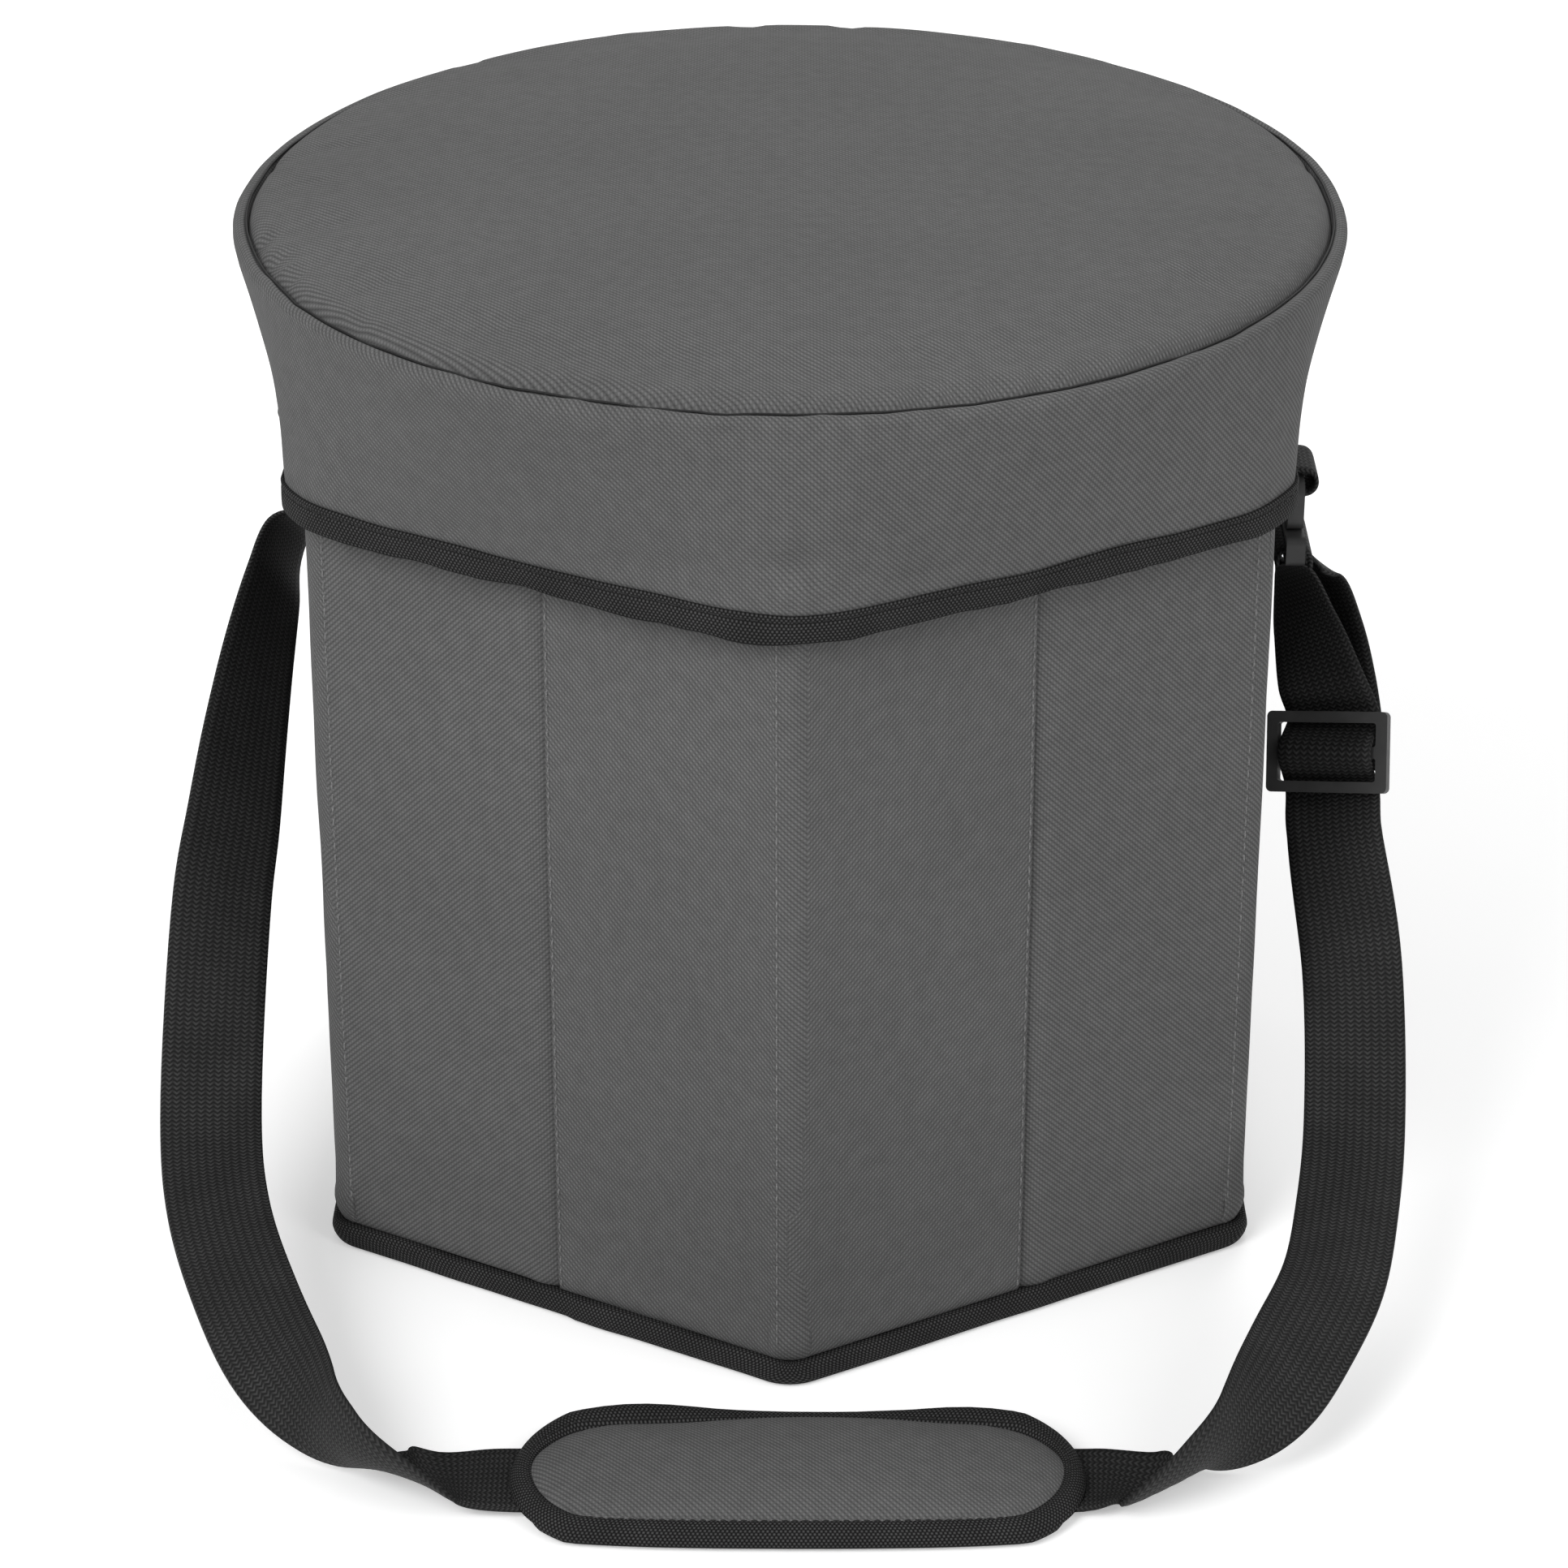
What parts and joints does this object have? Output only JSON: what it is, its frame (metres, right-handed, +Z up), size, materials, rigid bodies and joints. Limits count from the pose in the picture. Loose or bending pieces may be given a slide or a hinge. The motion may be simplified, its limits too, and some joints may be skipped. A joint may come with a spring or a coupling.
{
  "type": "folding cooler stool",
  "caption": "Six-sided insulated bag with stiff folding walls, a padded round lid that serves as a seat, a loose floor board and an adjustable shoulder strap.",
  "frame": {"origin": "middle of the stool's underside, on the floor", "axes": "+Z up, -Y towards the front corner of the hexagon, +X towards the wall that carries the adjustable end of the strap"},
  "size_m": [0.3954, 0.4279, 0.3319],
  "materials": {
    "cloth": "charcoal grey woven polyester",
    "tape": "black ribbed binding tape",
    "webbing": "black woven webbing",
    "plastic": "black moulded plastic",
    "board": "dark hardboard",
    "lining": "silver-grey foam-backed lining",
    "foam": "open-cell seat foam"
  },
  "bodies": {
    "right_wall": {"cover_right": "cloth", "liner_right": "lining", "board_right_1": "board", "board_right_2": "board", "floor_cloth": "cloth", "base_binding": "tape", "tab_right": "webbing", "hook_right": "plastic", "hook_eye_right": "plastic", "strap_right": "webbing", "strap_tail": "webbing", "strap_slider": "plastic"},
    "shoulder_pad": {"pad_back": "webbing", "pad_cushion": "cloth", "pad_binding": "tape", "strap_left": "webbing"},
    "front_right_1": {"cover_front_right_1": "cloth", "liner_front_right_1": "lining", "board_front_right_1": "board"},
    "front_right_2": {"cover_front_right_2": "cloth", "liner_front_right_2": "lining", "board_front_right_2": "board"},
    "front_left_2": {"cover_front_left_2": "cloth", "liner_front_left_2": "lining", "board_front_left_2": "board"},
    "front_left_1": {"cover_front_left_1": "cloth", "liner_front_left_1": "lining", "board_front_left_1": "board"},
    "left_wall": {"cover_left": "cloth", "liner_left": "lining", "board_left_1": "board", "board_left_2": "board", "tab_left": "webbing", "hook_left": "plastic", "hook_eye_left": "plastic"},
    "back_right_1": {"cover_back_right_1": "cloth", "liner_back_right_1": "lining", "board_back_right_1": "board"},
    "back_right_2": {"cover_back_right_2": "cloth", "liner_back_right_2": "lining", "board_back_right_2": "board"},
    "back_left_2": {"cover_back_left_2": "cloth", "liner_back_left_2": "lining", "board_back_left_2": "board"},
    "back_left_1": {"cover_back_left_1": "cloth", "liner_back_left_1": "lining", "board_back_left_1": "board"},
    "lid": {"lid_liner": "lining", "lid_board": "board", "lid_foam": "foam", "lid_top": "cloth", "lid_skirt": "cloth", "hem_binding": "tape"},
    "base_board": {"base_board": "board"},
    "right_gate": {"hook_gate_right": "plastic"},
    "left_gate": {"hook_gate_left": "plastic"}
  },
  "joints": [
    {"name": "wall_fold", "type": "hinge", "parent": "right_wall", "child": "front_right_1", "pos_m": [0.13759, -0.07944, 0], "axis": [0, 0, 1], "range_deg": [-117, 0], "deforming": ["floor_cloth", "base_binding", "lid_skirt", "hem_binding", "strap_left", "strap_right"]},
    {"name": "front_right_middle_fold", "type": "hinge", "parent": "front_right_1", "child": "front_right_2", "pos_m": [0.0729, -0.12626, 0], "axis": [0, 0, 1], "range_deg": [0, 175.6]},
    {"name": "front_corner_fold", "type": "hinge", "parent": "front_right_2", "child": "front_left_2", "pos_m": [0, -0.15888, 0], "axis": [0, 0, 1], "range_deg": [-117.1, 0]},
    {"name": "front_left_middle_fold", "type": "hinge", "parent": "front_left_2", "child": "front_left_1", "pos_m": [-0.0729, -0.12626, 0], "axis": [0, 0, 1], "range_deg": [0, 175.6]},
    {"name": "front_left_corner_fold", "type": "hinge", "parent": "front_left_1", "child": "left_wall", "pos_m": [-0.13759, -0.07944, 0], "axis": [0, 0, 1], "range_deg": [-117.1, 0]},
    {"name": "back_right_corner_fold", "type": "hinge", "parent": "right_wall", "child": "back_right_1", "pos_m": [0.13759, 0.07944, 0], "axis": [0, 0, 1], "range_deg": [0, 117.1]},
    {"name": "back_right_middle_fold", "type": "hinge", "parent": "back_right_1", "child": "back_right_2", "pos_m": [0.0729, 0.12626, 0], "axis": [0, 0, 1], "range_deg": [-175.6, 0]},
    {"name": "back_corner_fold", "type": "hinge", "parent": "back_right_2", "child": "back_left_2", "pos_m": [0, 0.15888, 0], "axis": [0, 0, 1], "range_deg": [0, 117.1]},
    {"name": "back_left_middle_fold", "type": "hinge", "parent": "back_left_2", "child": "back_left_1", "pos_m": [-0.0729, 0.12626, 0], "axis": [0, 0, 1], "range_deg": [-175.6, 0]},
    {"name": "pad_follow", "type": "slide", "parent": "right_wall", "child": "shoulder_pad", "axis": [1, 0, 0], "range_m": [0, 0.1125]},
    {"name": "lid_lift", "type": "slide", "parent": "right_wall", "child": "lid", "axis": [0, 0, 1], "range_m": [0, 0.4]},
    {"name": "base_board_lift", "type": "slide", "parent": "right_wall", "child": "base_board", "axis": [0, 0, 1], "range_m": [0, 0.341]},
    {"name": "right_gate_swing", "type": "hinge", "parent": "right_wall", "child": "right_gate", "pos_m": [0.15969, 0.0177, 0.2231], "axis": [1, 0, 0], "range_deg": [0, 22], "stiffness_Nm_per_rad": 0.02},
    {"name": "left_gate_swing", "type": "hinge", "parent": "left_wall", "child": "left_gate", "pos_m": [-0.15969, 0.0493, 0.2231], "axis": [-1, 0, 0], "range_deg": [0, 22], "stiffness_Nm_per_rad": 0.02}
  ],
  "couplings": [
    {"joint": "front_right_middle_fold", "follows": "wall_fold", "ratio": -1.5},
    {"joint": "front_corner_fold", "follows": "wall_fold", "ratio": 1},
    {"joint": "front_left_middle_fold", "follows": "wall_fold", "ratio": -1.5},
    {"joint": "front_left_corner_fold", "follows": "wall_fold", "ratio": 1},
    {"joint": "back_right_corner_fold", "follows": "wall_fold", "ratio": -1},
    {"joint": "back_right_middle_fold", "follows": "wall_fold", "ratio": 1.5},
    {"joint": "back_corner_fold", "follows": "wall_fold", "ratio": -1},
    {"joint": "back_left_middle_fold", "follows": "wall_fold", "ratio": 1.5},
    {"joint": "pad_follow", "follows": "wall_fold", "m_per_rad": -0.055},
    {"joint": "base_board_lift", "follows": "lid_lift", "ratio": 0.85}
  ]
}
